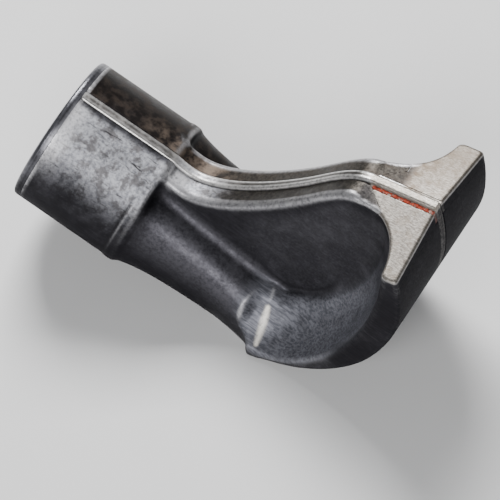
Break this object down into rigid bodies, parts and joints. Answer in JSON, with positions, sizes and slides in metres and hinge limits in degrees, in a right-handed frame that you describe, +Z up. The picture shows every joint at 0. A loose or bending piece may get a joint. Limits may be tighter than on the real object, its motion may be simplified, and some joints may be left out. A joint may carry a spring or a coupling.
{
  "type": "pipe-handled hand bender head",
  "caption": "Compact steel hand-bender head with a pipe-handle socket, a saddle with a raised centre strip, scooped side pockets and sloped heel faces.",
  "frame": {"origin": "middle of the footprint's bounding box, on the surface that the head stands on", "axes": "+X from the handle socket towards the heel, +Y across the head towards the clamp screws, +Z up with the head standing on its flat underside"},
  "size_m": [0.13, 0.0494, 0.066],
  "materials": {
    "forged_steel": "dark oiled casting worn grey on its edges",
    "plate_steel": "worn satin steel",
    "ground_steel": "surface-ground, with fine scratches",
    "braze_copper": "rough copper braze",
    "bush_steel": "blued steel",
    "screw_steel": "black oxide",
    "pad_brass": "turned brass"
  },
  "bodies": {
    "root": {"near_cheek": "forged_steel", "far_cheek": "forged_steel", "centre_plate": "plate_steel", "near_heel_pad": "ground_steel", "far_heel_pad": "ground_steel", "near_braze_bead": "braze_copper", "far_braze_bead": "braze_copper", "socket_bush": "bush_steel", "handle_stop": "plate_steel", "alignment_dowel_1": "screw_steel", "alignment_dowel_2": "screw_steel", "alignment_dowel_3": "screw_steel", "alignment_dowel_4": "screw_steel"},
    "screw_pad_1": {"screw_pad_1": "pad_brass"},
    "lock_screw_1": {"lock_screw_1": "screw_steel"},
    "screw_pad_2": {"screw_pad_2": "pad_brass"},
    "lock_screw_2": {"lock_screw_2": "screw_steel"}
  },
  "joints": [
    {"name": "clamp_advance_1", "type": "slide", "parent": "root", "child": "screw_pad_1", "axis": [0, -1, 0], "range_m": [0, 0.002]},
    {"name": "screw_turn_1", "type": "hinge", "parent": "screw_pad_1", "child": "lock_screw_1", "pos_m": [-0.04719, 0.0198, 0.02896], "axis": [0, -1, 0], "range_deg": [0, 577]},
    {"name": "clamp_advance_2", "type": "slide", "parent": "root", "child": "screw_pad_2", "axis": [0, -1, 0], "range_m": [0, 0.002]},
    {"name": "screw_turn_2", "type": "hinge", "parent": "screw_pad_2", "child": "lock_screw_2", "pos_m": [-0.03662, 0.0198, 0.02444], "axis": [0, -1, 0], "range_deg": [0, 577]}
  ],
  "couplings": [
    {"joint": "screw_turn_1", "follows": "clamp_advance_1", "rad_per_m": 5026.5},
    {"joint": "screw_turn_2", "follows": "clamp_advance_2", "rad_per_m": 5026.5}
  ]
}
